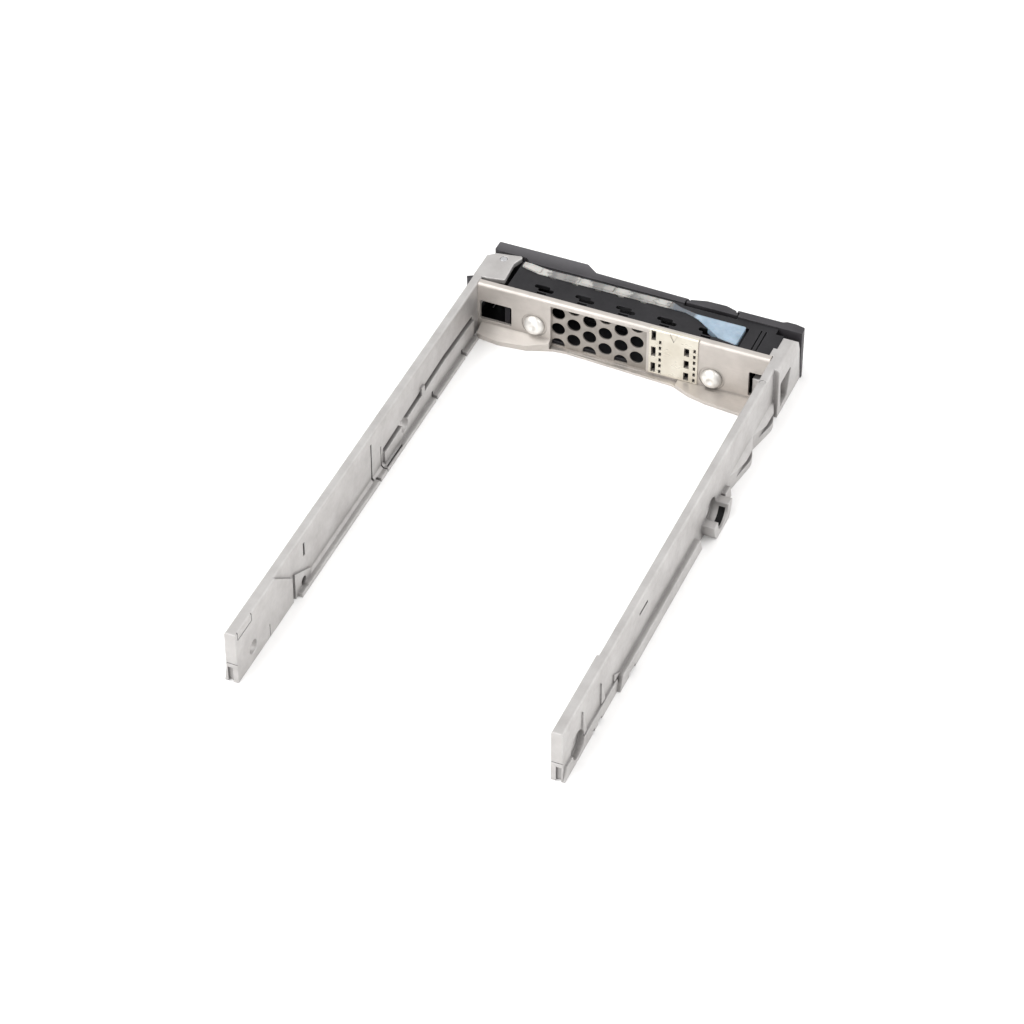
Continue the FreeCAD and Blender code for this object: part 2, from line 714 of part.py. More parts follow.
def rivet(centre):
    """Domed head with a dimple, and a shank through the plate into the housing's boss."""
    x, z = centre
    tail = -sheet - rivet_grip

    def at(radius, along):
        return Vector(x + radius, along, z)

    dome_rise = rivet_head_height - rivet_rim
    top_angle = math.acos(rivet_dimple_radius / rivet_head_radius)
    shoulder = rivet_rim + dome_rise * math.sin(top_angle)
    half = math.radians(35)
    bend = at(rivet_head_radius * math.cos(half), rivet_rim + dome_rise * math.sin(half))
    lines = [at(0, tail), at(rivet_shank_radius, tail), at(rivet_shank_radius, 0), at(rivet_head_radius, 0),
             at(rivet_head_radius, rivet_rim)]
    edges = [Part.makeLine(lines[i], lines[i + 1]) for i in range(len(lines) - 1)]
    edges.append(Part.Arc(lines[-1], bend, at(rivet_dimple_radius, shoulder)).toShape())
    edges.append(Part.makeLine(at(rivet_dimple_radius, shoulder), at(0, shoulder - rivet_dimple_depth)))
    edges.append(Part.makeLine(at(0, shoulder - rivet_dimple_depth), lines[0]))
    return Part.Face(Part.Wire(edges)).revolve(at(0, 0), Vector(0, 1, 0), 360)


# --- front housing and light guide

def light_guide_outline():
    tip = web_inner - guide_tip_inset
    tip_front = front_face - guide_tip_ahead
    block_front = guide_front + block_front_step
    return [(guide_left, guide_rear), (tip, tip_front + guide_tip_length, 0.4), (tip, tip_front),
            (tip - guide_tip_width, tip_front, 0.4), (guide_left - 1.0, guide_front),
            (block_inner + block_neck[0], guide_front),
            (block_inner + block_neck[1], guide_front + block_front_step / 2),
            (block_inner, block_front), (block_outer, block_front, 0.4), (block_outer, block_rear, 0.4),
            (block_inner - block_slant, block_rear_inner, 0.4),
            (block_inner - 0.6, guide_rear + block_neck_width, 1.0),
            (block_inner + 3.0, guide_rear, 1.0)]


def light_guide(extra=0.0):
    """Strip across the front that widens to the block; extra raises its top, for cutting its groove."""
    return profile(light_guide_outline(), "z", guide_top - guide_thickness, guide_top + extra)


def lumpy_guide():
    """The light guide with its thick stretches."""
    lumps = []
    for start, end in lump_insets:
        stretch = block((web_inner - start, web_inner - end),
                        (guide_front + lump_margin, guide_rear - lump_margin),
                        (guide_top - lump_margin, guide_top + lump_height))
        lumps.append(stretch.common(light_guide(over)))
    return joined([light_guide()] + lumps)


def housing():
    rear = -sheet
    width = (housing_right, housing_left)
    body = block(width, (rear, front_face), (housing_bottom, housing_top))
    cavity = block((housing_right + housing_wall, housing_left - housing_wall),
                   (front_face + front_wall, over),
                   (housing_bottom + housing_wall, housing_top - housing_wall))
    body = body.cut(cavity)
    boss_end = rear - rivet_grip - boss_floor
    solids = [body,
              block(width, (front_face, guide_rear + 0.9), (guide_floor, housing_top)),
              block((block_outer - 2 * block_groove, block_inner + 2.0), (front_face, block_rear + 0.4),
                    (guide_floor, housing_top)),
              block((stem_right + 1.0, stem_left - 1.0), (spring_seat, spring_seat + spring_seat_wall),
                    (housing_bottom, guide_floor + bite))]
    for x, z in rivets:
        solids += [block(around(x, boss_radius), (rear, boss_end), (housing_bottom, z)),
                   rod((x, z), boss_radius, "y", rear, boss_end)]
    room = block(width, (rear, front_face), (foot_height, housing_top))
    for x, y in foot_screw_places:
        post = block(around(x, foot_screw_post), around(y, foot_screw_post),
                     (foot_height, foot_screw_length + foot_screw_cap))
        solids.append(post.common(room))
    body = joined(solids)
    cuts = housing_spaces() + [light_guide(lump_height + over)] + top_vents() + rim_cuts() + front_slots()
    for centre in rivets:
        cuts.append(rod(centre, rivet_shank_radius, "y", 0, rear - rivet_grip))
    for centre in foot_screw_places:
        cuts.append(rod(centre, foot_screw_radius, "z", 0, foot_screw_length))
    return body.cut(cuts)


def housing_spaces():
    """Room in the housing for the pieces that reach into it."""
    gap = assembly_gap
    above = (housing_top - housing_wall, rail_height + over)
    gusset_inset, gusset_front, gusset_low, gusset_high = gusset
    post_inset, post_front, post_drop = corner_post
    wide = (housing_right - over, housing_left + over)
    foot_run = (cheek_foot_run[0] - gap, ear_root + gap)
    left_foot = (housing_left - ear_foot_reach - gap, housing_left + over)
    right_foot = (cheek_foot - web_inner + gap, housing_right - over)
    rim = button_rim + lever_gap
    return [
        block(wide, (-plate_flange - gap, over), (rail_height - sheet - gap, above[1])),
        block((vent_right - screen_margin - gap, vent_left + screen_margin + gap),
              (-sheet - screen_sheet - gap, over),
              (-over, vent_top + screen_edge + gap)),
        block(left_foot, (front_face - over, foot_run[1]), (-over, foot_height)),
        block(right_foot, foot_run, (-over, foot_height)),
        block((housing_right - over, gusset_inset - web_inner + gap), (gusset_front - gap, over),
              (-over, gusset_high + gap)),
        block((housing_right - over, post_inset - web_inner + gap), (post_front - gap, over),
              (rail_height - post_drop - gap, above[1])),
        block((button_left + rim, button_right - rim),
              (front_face - over, button_rear + button_travel + 0.25), (-over, above[1])),
        block((stem_left + stem_clearance, stem_right - stem_clearance),
              (front_face - over, front_face + stem_opening),
              (stem_low - stem_clearance, stem_high + stem_clearance)),
        block((lever_right + latch_inset + latch_window, lever_right - 0.35),
              (front_face - over, front_face + front_wall + over),
              (latch_low - latch_window, latch_high + latch_window)),
    ]


def top_vents():
    """Long vents in the top wall, each of two lobes side by side, and a short one behind it."""
    first, last = web_inner - first_vent_inset, last_vent_inset - web_inner
    heights = (guide_floor - bite, rail_height + over)
    shift_x, shift_y = vent_lobe_shift
    length, width, behind = small_vent
    cuts = []
    for i in range(vent_count):
        x = first + (last - first) * i / (vent_count - 1)
        for side in (-1, 1):
            lobe = slot_outline((x + side * shift_x, vent_y - side * shift_y), vent_lobe_length,
                                vent_lobe_width)
            cuts.append(profile(lobe, "z", *heights))
        cuts.append(profile(rectangle(around(x, length / 2), around(vent_y + behind, width / 2)), "z",
                            *heights))
    return cuts


def rim_cuts():
    """Notches beside the light guide, the groove at its block's end, ridge lines and the stepped corner."""
    heights = (housing_top - rim_notch[2], rail_height + over)
    cuts = []
    for i in range(rim_notch_count):
        x = guide_left - rim_notch_start - i * rim_notch_pitch
        cuts.append(block((x, x - rim_notch[0]), (guide_rear, guide_rear + rim_notch[1]), heights))
        x += rim_notch[0]
        cuts.append(block((x, x - rim_notch[0]), (guide_front, guide_front - rim_notch[1]), heights))
    cuts.append(block((block_outer, block_outer - block_groove),
                      (guide_front + block_front_step, block_rear), heights))
    for inset in ridge_insets:
        cuts.append(block(around(inset - web_inner, ridge_width / 2), ridge_run,
                          (housing_top - ridge_depth, heights[1])))
    inset, run, depth = corner_cut
    cuts.append(block((housing_right - over, housing_right + inset), (front_face - over, front_face + run),
                      (housing_top - depth, heights[1])))
    return cuts


def front_slots():
    """Airways in the front wall, in line with the screen."""
    step = (vent_left - vent_right) / slot_count
    slots = []
    for i in range(slot_count):
        x = vent_right + slot_web / 2 + step * i
        outline = rounded(rectangle((x, x + step - slot_web), (slot_low, slot_high)), slot_round)
        slots.append(profile(outline, "y", front_face - over, front_face + front_wall + over))
    return slots


# --- fixed end of the bezel

def bezel_end():
    bump = [(inset - web_inner) for inset in bezel_bump_insets]
    outline = [(bezel_left, front_face), (bezel_left, bezel_face, 0.3), (bump[0] + 0.9, bezel_face, 0.8),
               (bump[0], bezel_face - bezel_bump, 0.8),
               (bump[1], bezel_face - bezel_bump, 0.8), (bezel_right, bezel_face, 0.6),
               (bezel_right, front_face)]
    rebate = block((bezel_left + over, button_right - button_rim - lever_gap),
                   (button_rear - button_rim_thickness - lever_gap, front_face + over),
                   (-over, rail_height + over))
    cheek = [(y, z) for y, z in cheek_line[2:]] + [(0, 0), (0, cheek_line[2][1])]
    seat = profile(cheek, "x", -cheek_outer - over, fit_gap - web_inner)
    return profile(outline, "z", 0, rail_height - fit_gap).cut([rebate, seat])


# --- ejector lever with its pin and spring

def lever_levels():
    return foot_height + lever_gap, rail_height - ear_thickness - lever_gap


def ejector_lever():
    high = lever_levels()[1]
    step = housing_left - assembly_gap
    stepped = lever_rear - lever_step
    face = [(lever_right, lever_rear), (step - lever_step, lever_rear), (step, stepped),
            (lever_left, stepped, 0.4),
            (lever_left, grip_face, 0.3), (grip_inner, grip_face, 0.8),
            (grip_inner - grip_run, lever_face - 0.4, 0.8),
            (lever_right, lever_face + 0.2, 0.2)]
    px, py = pivot
    web = profile(rectangle((px - hub_radius, px + 1.0), (py, stepped - assembly_gap)), "z", tooth_low,
                  high)
    hub = rod(pivot, hub_radius, "z", tooth_low, high)
    arm = profile([(px + x, py + y) for x, y in tooth_line], "z", tooth_low, tooth_high)
    nose_x = lever_right + latch_inset
    latch_rear = front_face + latch_reach
    nose = [(nose_x, lever_rear - 0.2), (nose_x, latch_rear), (lever_right, latch_rear + 0.5),
            (lever_right, latch_rear - 1.0),
            (nose_x - latch_thickness, latch_rear - 1.0), (nose_x - latch_thickness, lever_rear - 0.2)]
    body = joined([profile(face, "z", lever_bottom, lever_top), web, hub, arm,
                   profile(nose, "z", latch_low, latch_high)])
    rebate = block((lever_right - over, button_left + button_rim + lever_gap),
                   (button_rear - button_rim_thickness - lever_gap, front_face), (-over, rail_height))
    hole = rod(pivot, pin_radius + pin_clearance, "z", -over, rail_height)
    return body.cut([hole, rebate, lens_space(grip_face - over, 0)] + face_vents())


def hexagon(x, z, across):
    radius = across / math.sqrt(3)
    angles = [math.radians(60 * i) for i in range(6)]
    return [(x + radius * math.cos(a), z + radius * math.sin(a)) for a in angles]


def face_vents():
    """Hexagonal openings in the lever's face, in line with the screen."""
    step = grille_across + grille_web
    holes = []
    for column in range(grille_columns):
        rows = 3 - column % 2
        for row in range(rows):
            x = vent_right - bite + column * step * math.cos(math.radians(30))
            z = (lever_bottom + lever_top) / 2 + (row - (rows - 1) / 2) * step
            holes.append(profile(hexagon(x, z, grille_across), "y", grip_face - over, front_face))
    return holes


def lens_space(front, rear):
    x = web_inner - guide_tip_inset - guide_tip_width / 2
    width, height = lens_size
    top = housing_top - lens_drop
    return block(around(x, width / 2), (front, rear), (top - height, top))


def status_lens():
    return lens_space(grip_face - lens_proud, lever_rear - lever_step)


def lever_pin():
    pin = rod(pivot, pin_radius, "z", pin_bottom, rail_height)
    return pin.makeChamfer(pin_chamfer, [edge for edge in pin.Edges if edge.isClosed()])


def coil(radius, wire, turns, pitch):
    """Wire wound about Z, starting at the origin's level; its section has eight sides."""
    path = Part.makeHelix(pitch, pitch * turns, radius)
    angles = [math.radians(45 * i + 22.5) for i in range(8)]
    corners = [Vector(radius + wire / 2 * math.cos(a), 0, wire / 2 * math.sin(a)) for a in angles]
    return Part.Wire(path.Edges).makePipeShell([Part.makePolygon(corners + corners[:1])], True, True)


def lever_spring():
    """Torsion coil round the pin under the lever's arm: one leg on the rail's wall, one behind the lever."""
    mean = pin_radius + torsion_play + torsion_wire / 2
    px, py = pivot
    low = lever_levels()[0] + torsion_wire / 2
    past_end, ahead = torsion_rest
    reach = Vector(housing_left + past_end - px, lever_rear - ahead - py, 0)
    lean = math.acos(mean / reach.Length)
    finish = math.atan2(reach.y, reach.x) + lean
    turns = torsion_turns - finish / (2 * math.pi)
    height = (torsion_wire + torsion_gap) * turns
    winding = mirrored_coil(coil(mean, torsion_wire, turns, torsion_wire + torsion_gap))
    wall_leg = rod((mean, 0), torsion_wire / 2, "y", 0, torsion_leg)
    start = Vector(mean * math.cos(finish), mean * math.sin(finish), height)
    along = reach + Vector(0, 0, height) - start
    face_leg = Part.makeCylinder(torsion_wire / 2, along.Length, start, along)
    spring = joined([winding, wall_leg, face_leg])
    spring.translate(Vector(px, py, low))
    return spring


def mirrored_coil(winding):
    """The same coil wound the other way."""
    return winding.mirror(Vector(0, 0, 0), Vector(0, 1, 0))


# --- release button and its spring

def release_button():
    edge = button_rear - button_edge
    cap = [(button_left, button_rear), (button_left, edge + 0.2, 0.2),
           (button_left - 3.6, button_face + 0.1, 2.0),
           (button_right + 2.7, button_face, 2.0), (button_right, edge, 0.2), (button_right, button_rear)]
    rims = [block((button_left + button_rim, button_right - button_rim),
                  (button_rear - button_rim_thickness, button_rear), heights)
            for heights in ((lever_bottom, latch_low - latch_window),
                            (latch_high + latch_window, lever_top))]
    stem = block((stem_left, stem_right), (button_rear - bite, stem_rear), (stem_low, stem_high))
    wall_rear = front_face + front_wall + stem_clearance
    hooks = []
    for root, out in ((stem_left, 1.6), (stem_right, -0.8)):
        inside = root - math.copysign(bite, out)
        outline = [(inside, wall_rear), (root + out, wall_rear), (root + out, wall_rear + 0.4),
                   (root, wall_rear + hook_length),
                   (inside, wall_rear + hook_length)]
        hooks.append(profile(outline, "z", hook_low, hook_high))
    peg = rod(spring_centre, spring_radius - spring_wire - peg_clearance, "y", stem_rear - bite,
              stem_rear + peg_length)
    return joined([profile(cap, "z", lever_bottom, lever_top), stem, peg] + rims + hooks)


def button_spring():
    room = spring_seat - stem_rear
    pitch = (room - spring_wire) / spring_turns
    spring = coil(spring_radius - spring_wire / 2, spring_wire, spring_turns, pitch)
    spring.rotate(Vector(0, 0, 0), Vector(1, 0, 0), -90)
    x, z = spring_centre
    spring.translate(Vector(x, stem_rear + spring_wire / 2, z))
    return spring


nodes = {
    "left_rail": left_rail,
    "right_rail": right_rail,
    "front_plate": front_plate,
    "vent_screen": vent_screen,
    "grounding_clip": grounding_clip,
    "rivet_left": lambda: rivet(rivets[0]),
    "rivet_right": lambda: rivet(rivets[1]),
    "housing": housing,
    "light_guide": lumpy_guide,
    "bezel_end": bezel_end,
    "foot_screws": foot_screws,
    "ejector_lever": ejector_lever,
    "lever_pin": lever_pin,
    "lever_spring": lever_spring,
    "status_lens": status_lens,
    "release_button": release_button,
    "button_spring": button_spring,
}

os.makedirs("parts", exist_ok=True)
for name, make in nodes.items():
    shape = make()
    print(name, len(shape.Solids), "solid", round(shape.Volume, 1), "mm3",
          "valid" if shape.isValid() else "NOT VALID")
    shape.exportStep(f"parts/{name}.step")
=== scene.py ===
import json
import math
import bmesh
import bpy
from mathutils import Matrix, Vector


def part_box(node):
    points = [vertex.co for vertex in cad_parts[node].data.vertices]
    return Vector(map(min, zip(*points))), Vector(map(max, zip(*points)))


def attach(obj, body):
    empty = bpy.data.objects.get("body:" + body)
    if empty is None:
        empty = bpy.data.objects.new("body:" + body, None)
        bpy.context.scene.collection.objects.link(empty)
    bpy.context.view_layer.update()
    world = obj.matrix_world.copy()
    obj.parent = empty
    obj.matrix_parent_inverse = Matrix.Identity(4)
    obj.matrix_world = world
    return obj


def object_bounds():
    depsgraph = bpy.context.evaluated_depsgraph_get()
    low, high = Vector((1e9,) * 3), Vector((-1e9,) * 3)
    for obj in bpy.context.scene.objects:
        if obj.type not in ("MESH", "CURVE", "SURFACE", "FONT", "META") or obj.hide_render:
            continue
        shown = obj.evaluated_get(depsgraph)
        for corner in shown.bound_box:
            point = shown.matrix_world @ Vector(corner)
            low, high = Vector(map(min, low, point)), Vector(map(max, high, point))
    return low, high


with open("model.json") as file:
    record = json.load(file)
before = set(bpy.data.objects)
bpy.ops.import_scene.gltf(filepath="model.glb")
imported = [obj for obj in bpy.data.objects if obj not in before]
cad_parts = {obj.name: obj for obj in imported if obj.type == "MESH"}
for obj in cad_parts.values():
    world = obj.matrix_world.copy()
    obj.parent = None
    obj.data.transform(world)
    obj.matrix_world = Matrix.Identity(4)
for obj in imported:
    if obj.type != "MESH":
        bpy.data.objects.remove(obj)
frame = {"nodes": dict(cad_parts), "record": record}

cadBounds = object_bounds()
nodes = frame["nodes"]
print("frame loaded:", len(nodes), "nodes")


# What the materials share. Lengths are in metres, apart from the two marked at the camera.

shading = {
    "edgeSamples": 4,
    "edgeFacing": (5 / 6, 0.995),  # how far rounded and flat normals agree: on an edge, on a face
    "hollowSamples": 6,
    "noiseRange": (0.3, 0.7),  # nearly all of a noise lies between these
    "noiseRoughness": 0.55,
}

colourSockets = {"factor": 0, "first": 6, "second": 7, "result": 2}  # of a colour mix node


def newMaterial(name):
    material = bpy.data.materials.new(name)
    material.use_nodes = True
    tree = material.node_tree
    return material, tree, tree.nodes["Principled BSDF"]


def addNode(tree, kind, **settings):
    node = tree.nodes.new(kind)
    for key, value in settings.items():
        if key in node.inputs:
            node.inputs[key].default_value = value
        else:
            setattr(node, key, value)
    return node


def feed(tree, value, socket):
    # value is another node's result, a colour or a number
    if isinstance(value, bpy.types.NodeSocket):
        tree.links.new(value, socket)
    else:
        socket.default_value = value + (1,) if isinstance(value, tuple) else value


def objectPlace(tree, scale=(1, 1, 1)):
    # object coordinates are metres in the part's own frame
    coords = addNode(tree, "ShaderNodeTexCoord")
    mapping = addNode(tree, "ShaderNodeMapping", Scale=scale)
    feed(tree, coords.outputs["Object"], mapping.inputs["Vector"])
    return mapping.outputs["Vector"]


def splitPlace(tree, place):
    split = addNode(tree, "ShaderNodeSeparateXYZ")
    feed(tree, place, split.inputs[0])
    return split.outputs


def noise(tree, place, size, detail=3.0):
    # size is the width of one speck
    texture = addNode(tree, "ShaderNodeTexNoise", Scale=1.0 / size, Detail=detail,
                      Roughness=shading["noiseRoughness"])
    feed(tree, place, texture.inputs["Vector"])
    return texture.outputs["Fac"]


def remap(tree, value, low, high, between=shading["noiseRange"]):
    # low at the start of between, high at its end, and held there outside it
    node = addNode(tree, "ShaderNodeMapRange")
    node.inputs["From Min"].default_value, node.inputs["From Max"].default_value = between
    node.inputs["To Min"].default_value = low
    node.inputs["To Max"].default_value = high
    feed(tree, value, node.inputs["Value"])
    return node.outputs["Result"]


def mixColour(tree, factor, first, second):
    node = addNode(tree, "ShaderNodeMix", data_type="RGBA")
    for name, value in (("factor", factor), ("first", first), ("second", second)):
        feed(tree, value, node.inputs[colourSockets[name]])
    return node.outputs[colourSockets["result"]]


def multiply(tree, first, second):
    node = addNode(tree, "ShaderNodeMath", operation="MULTIPLY")
    feed(tree, first, node.inputs[0])
    feed(tree, second, node.inputs[1])
    return node.outputs[0]


def bevelNormal(tree, radius):
    bevel = addNode(tree, "ShaderNodeBevel", Radius=radius, samples=shading["edgeSamples"])
    return bevel.outputs["Normal"]


def rubEdges(tree, place, body, settings):
    # paler along the edges, in patches where hands and slides have rubbed them
    flat = addNode(tree, "ShaderNodeNewGeometry")
    agree = addNode(tree, "ShaderNodeVectorMath", operation="DOT_PRODUCT")
    feed(tree, bevelNormal(tree, settings["edgeRadius"]), agree.inputs[0])
    feed(tree, flat.outputs["Normal"], agree.inputs[1])
    edges = remap(tree, agree.outputs["Value"], 1.0, 0.0, shading["edgeFacing"])
    patches = remap(tree, noise(tree, place, settings["wearSize"]), *settings["wearAmount"])
    return mixColour(tree, multiply(tree, edges, patches), body, settings["edge"])


def paintedShadeMask(tree, settings):
    # painted shade mask: 1 deep inside slots, seams and pockets, 0 on open faces
    hollow = addNode(tree, "ShaderNodeAmbientOcclusion", Distance=settings["hollowReach"],
                     samples=shading["hollowSamples"], only_local=True)
    return remap(tree, hollow.outputs["AO"], 1.0, 0.0, settings["hollowBetween"])


def insideBox(tree, place, low, high):
    # 1 between the two corners, 0 elsewhere
    along = splitPlace(tree, place)
    inside = 1.0
    for axis in range(3):
        for limit, operation in ((low[axis], "GREATER_THAN"), (high[axis], "LESS_THAN")):
            test = addNode(tree, "ShaderNodeMath", operation=operation)
            feed(tree, along[axis], test.inputs[0])
            feed(tree, limit, test.inputs[1])
            inside = multiply(tree, test.outputs[0], inside)
    return inside


def roundedNormal(tree, shader, height, settings):
    # soft edges with a fine relief on top
    bump = addNode(tree, "ShaderNodeBump", Strength=settings["relief"], Distance=settings["reliefDepth"])
    feed(tree, height, bump.inputs["Height"])
    feed(tree, bevelNormal(tree, settings["edgeRadius"]), bump.inputs["Normal"])
    feed(tree, bump.outputs["Normal"], shader.inputs["Normal"])


def dress(material, *names):
    for name in names:
        slots = nodes[name].material_slots
        if not slots:
            nodes[name].data.materials.append(material)
        for slot in slots:
            slot.material = material


# Rails: die-cast metal, bead blasted, with brighter rubbed edges, painted shade in their hollows and
# near-black painted shade in two recesses

castMetal = {
    "colour": (0.495, 0.482, 0.472),
    "shade": (0.405, 0.389, 0.380),
    "cloudSize": 0.006,
    "edge": (0.66, 0.65, 0.64),
    "edgeRadius": 0.0005,
    "wearSize": 0.003,
    "wearAmount": (0.2, 0.8),
    # painted shade: the darker colour laid into hollows, seams and pockets
    "dirt": (0.13, 0.122, 0.12),
    "dirtAmount": 0.85,
    "hollowReach": 0.0022,
    "hollowBetween": (0.35, 0.9),
    # near-black painted shade for two recesses
    "soot": (0.006, 0.006, 0.006),
    "sootBoxes": [  # corners of the boxes painted near black as shade: head pocket, screw seat
        ((0.0300, -0.0095, 0.0005), (0.0362, -0.0007, 0.0120)),
        ((-0.0399, 0.0389, 0.0005), (-0.0384, 0.0451, 0.0042)),
    ],
    "metallic": 0.6,
    "roughness": (0.40, 0.56),
    "roughnessSize": 0.0011,
    "grainSize": 0.00028,
    "relief": 0.25,
    "reliefDepth": 0.00004,
}


def makeCastMetal():
    material, tree, shader = newMaterial("castMetal")
    place = objectPlace(tree)
    cloud = remap(tree, noise(tree, place, castMetal["cloudSize"], detail=4), 0.0, 1.0)
    body = mixColour(tree, cloud, castMetal["shade"], castMetal["colour"])
    body = rubEdges(tree, place, body, castMetal)
    # painted shade in the hollows, then near-black painted shade in the two boxes
    dirt = multiply(tree, paintedShadeMask(tree, castMetal), castMetal["dirtAmount"])
    body = mixColour(tree, dirt, body, castMetal["dirt"])
    for low, high in castMetal["sootBoxes"]:
        body = mixColour(tree, insideBox(tree, place, low, high), body, castMetal["soot"])
    feed(tree, body, shader.inputs["Base Color"])
    sheen = remap(tree, noise(tree, place, castMetal["roughnessSize"]), *castMetal["roughness"])
    feed(tree, sheen, shader.inputs["Roughness"])
    feed(tree, castMetal["metallic"], shader.inputs["Metallic"])
    roundedNormal(tree, shader, noise(tree, place, castMetal["grainSize"], detail=2), castMetal)
    return material


dress(makeCastMetal(), "left_rail", "right_rail")
print("rails dressed")


# Steel: the front plate's settings, and what differs on the other steel pieces

plateSteel = {
    "colour": (0.54, 0.50, 0.465),
    "shade": (0.44, 0.41, 0.38),
    "cloudSize": 0.005,
    # painted shade: the darker colour laid into hollows and seams of every steel piece
    "dirt": (0.10, 0.092, 0.085),
    "dirtAmount": 0.7,
    "hollowReach": 0.0009,
    "hollowBetween": (0.35, 0.9),
    "metallic": 0.6,
    "roughness": (0.38, 0.52),
    "lineWidth": 0.00045,
    "brushLength": 14.0,  # in widths of a line
    "relief": 0.08,
    "reliefDepth": 0.00002,
    "edgeRadius": 0.00018,
}

screenSteel = dict(plateSteel, colour=(0.36, 0.33, 0.30), shade=(0.24, 0.22, 0.20))

clipSteel = dict(
    plateSteel, colour=(0.66, 0.625, 0.545), shade=(0.53, 0.49, 0.41), roughness=(0.26, 0.36),
    relief=0.03, lineWidth=0.0012, edgeRadius=0.0001, brushLength=3.0,
)

rivetMetal = dict(
    plateSteel, colour=(0.80, 0.78, 0.745), shade=(0.72, 0.70, 0.665), roughness=(0.30, 0.38),
    relief=0.0, hollowReach=0.0007, edgeRadius=0.00025, brushLength=1.0,
)

wireSteel = dict(
    plateSteel, colour=(0.52, 0.52, 0.53), shade=(0.40, 0.40, 0.41), roughness=(0.2, 0.35),
    relief=0.03, edgeRadius=0.00005, brushLength=1.0,
)


def makeSteel(name, settings):
    material, tree, shader = newMaterial(name)
    place = objectPlace(tree)
    stretched = objectPlace(tree, (1.0 / settings["brushLength"], 1, 1))
    lines = noise(tree, stretched, settings["lineWidth"], detail=2)
    cloud = remap(tree, noise(tree, place, settings["cloudSize"], detail=4), 0.0, 1.0)
    body = mixColour(tree, cloud, settings["shade"], settings["colour"])
    # painted shade in hollows and seams
    dirt = multiply(tree, paintedShadeMask(tree, settings), settings["dirtAmount"])
    feed(tree, mixColour(tree, dirt, body, settings["dirt"]), shader.inputs["Base Color"])
    feed(tree, remap(tree, lines, *settings["roughness"]), shader.inputs["Roughness"])
    feed(tree, settings["metallic"], shader.inputs["Metallic"])
    roundedNormal(tree, shader, lines, settings)
    return material


dress(makeSteel("plateSteel", plateSteel), "front_plate")
dress(makeSteel("screenSteel", screenSteel), "vent_screen")
dress(makeSteel("clipSteel", clipSteel), "grounding_clip")
dress(makeSteel("rivetMetal", rivetMetal), "rivet_left", "rivet_right")
dress(makeSteel("wireSteel", wireSteel), "foot_screws", "lever_pin", "lever_spring", "button_spring")
print("steel dressed")


# Dark moulded plastic: housing, bezel's end and button, and the lever with a painted highlight along its
# upper front edge

darkPlastic = {
    "colour": (0.011, 0.0105, 0.012),
    "dust": (0.021, 0.020, 0.022),
    "dustAmount": 0.8,
    "cloudSize": 0.007,
    "edge": (0.062, 0.060, 0.066),
    "edgeRadius": 0.0003,
    "wearSize": 0.002,
    "wearAmount": (0.2, 0.9),
    # painted shade: near black laid into slots and pockets
    "hollow": (0.0012, 0.0012, 0.0014),
    "hollowReach": 0.006,
    "hollowBetween": (0.3, 0.85),
    "specular": 0.2,
    "roughness": (0.42, 0.58),
    "roughnessSize": 0.0012,
    "grainSize": 0.00022,
    "relief": 0.35,
    "reliefDepth": 0.00005,
}

bezelPlastic = dict(
    darkPlastic, colour=(0.024, 0.022, 0.025), dust=(0.042, 0.039, 0.043),
    specular=0.4, grainSize=0.00035,
)

leverPlastic = dict(
    bezelPlastic, faded=(0.078, 0.0745, 0.080),
    fadedBetween=(-0.0166, -0.0128),  # along y: full painted highlight, no painted highlight
    fadedAbove=(0.0118, 0.0131),  # in z: no painted highlight, full painted highlight
)


def makeDarkPlastic(name, settings):
    material, tree, shader = newMaterial(name)
    place = objectPlace(tree)
    cloud = remap(tree, noise(tree, place, settings["cloudSize"], detail=4), 0.0, settings["dustAmount"])
    body = mixColour(tree, cloud, settings["colour"], settings["dust"])
    # painted highlight along the lever's upper front edge
    if "faded" in settings:
        along = splitPlace(tree, place)
        ahead = remap(tree, along["Y"], 1.0, 0.0, settings["fadedBetween"])
        above = remap(tree, along["Z"], 0.0, 1.0, settings["fadedAbove"])
        body = mixColour(tree, multiply(tree, ahead, above), body, settings["faded"])
    body = rubEdges(tree, place, body, settings)
    # painted shade in slots and pockets
    body = mixColour(tree, paintedShadeMask(tree, settings), body, settings["hollow"])
    feed(tree, body, shader.inputs["Base Color"])
    sheen = remap(tree, noise(tree, place, settings["roughnessSize"]), *settings["roughness"])
    feed(tree, sheen, shader.inputs["Roughness"])
    feed(tree, settings["specular"], shader.inputs["Specular IOR Level"])
    roundedNormal(tree, shader, noise(tree, place, settings["grainSize"], detail=2), settings)
    return material


housingMaterial = makeDarkPlastic("housingPlastic", darkPlastic)
bezelMaterial = makeDarkPlastic("bezelPlastic", bezelPlastic)
dress(housingMaterial, "housing")
dress(bezelMaterial, "bezel_end", "release_button")
dress(makeDarkPlastic("leverPlastic", leverPlastic), "ejector_lever")
print("dark plastic dressed")


# Light guide: milky strip that turns pale blue at its block, with painted highlights and dark bands
# along the strip

